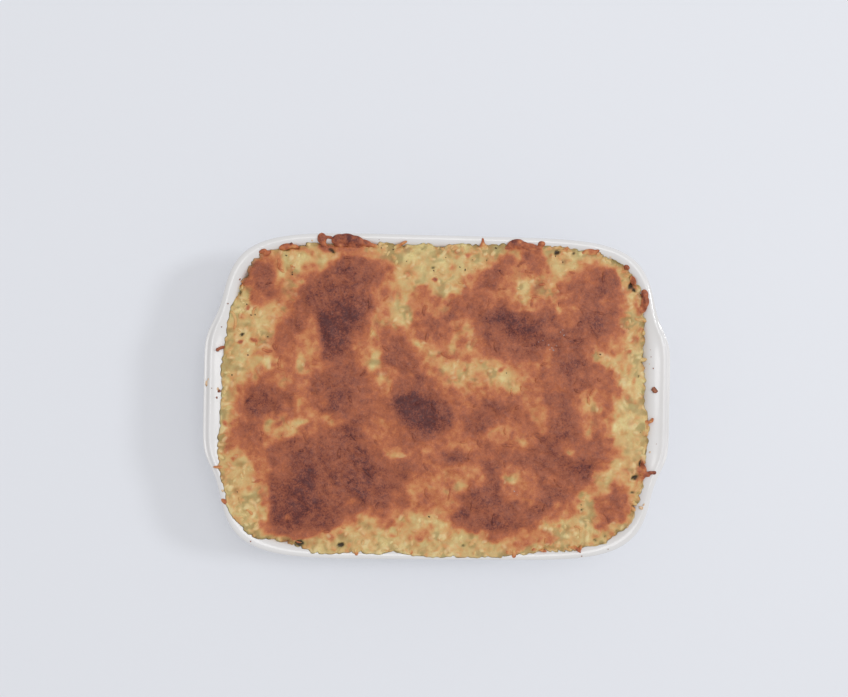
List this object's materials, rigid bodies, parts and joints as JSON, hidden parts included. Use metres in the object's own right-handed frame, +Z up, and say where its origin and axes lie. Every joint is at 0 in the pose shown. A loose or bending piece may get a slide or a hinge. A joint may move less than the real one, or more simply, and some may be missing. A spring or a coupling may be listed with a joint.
{
  "type": "rice and mince pie in its oven dish",
  "caption": "Rice and mince pie with a browned cheese top, baked in a shallow white oblong oven dish with rounded corners and flared rim handles.",
  "frame": {"origin": "on the surface the dish stands on, under the middle of the dish", "axes": "+X along the dish from handle to handle, +Y towards the long side with the dark cheese drips, +Z up"},
  "size_m": [0.325, 0.2256, 0.0622],
  "materials": {
    "dish_glaze": "glossy white glaze",
    "baked_pie": "browned cheese over yellow rice"
  },
  "bodies": {
    "root": {"dish": "dish_glaze", "pie": "baked_pie"}
  },
  "joints": []
}
